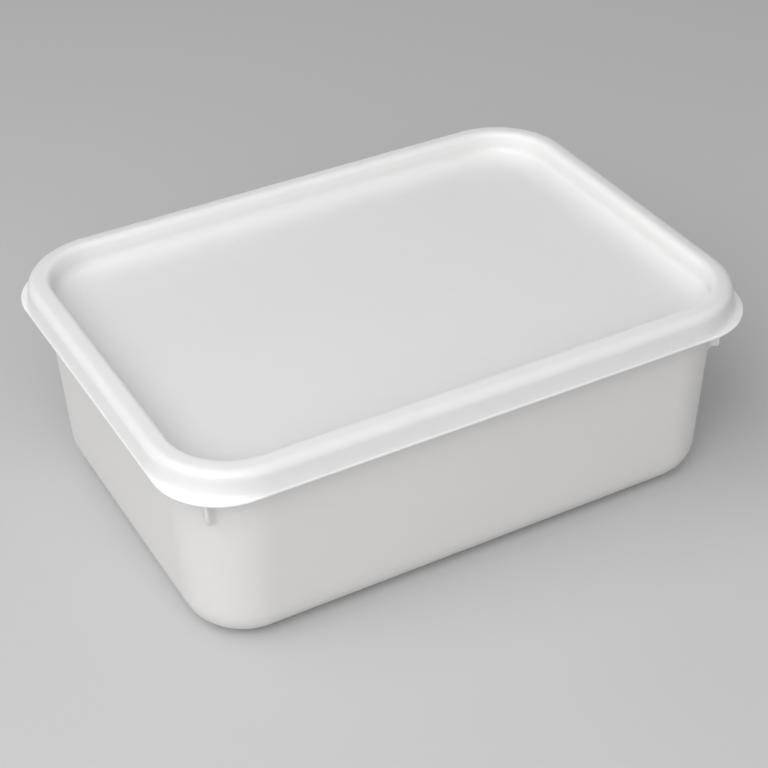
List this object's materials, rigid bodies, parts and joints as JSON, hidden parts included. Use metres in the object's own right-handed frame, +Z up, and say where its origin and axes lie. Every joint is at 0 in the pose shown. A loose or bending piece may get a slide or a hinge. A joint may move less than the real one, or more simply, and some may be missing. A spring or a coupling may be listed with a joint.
{
  "type": "ice cream tub",
  "caption": "Shut rectangular ice cream tub: drafted plastic tub with rounded corners and a press-on lid whose panel is sunk within a raised bead.",
  "frame": {"origin": "middle of the base, at the surface that the tub stands on", "axes": "+X along the tub's long side, +Y along its short side, +Z up through the lid"},
  "size_m": [0.226, 0.163, 0.0802],
  "materials": {
    "tub_plastic": "satin",
    "lid_plastic": "satin"
  },
  "bodies": {
    "root": {"tub": "tub_plastic", "lid": "lid_plastic"}
  },
  "joints": []
}
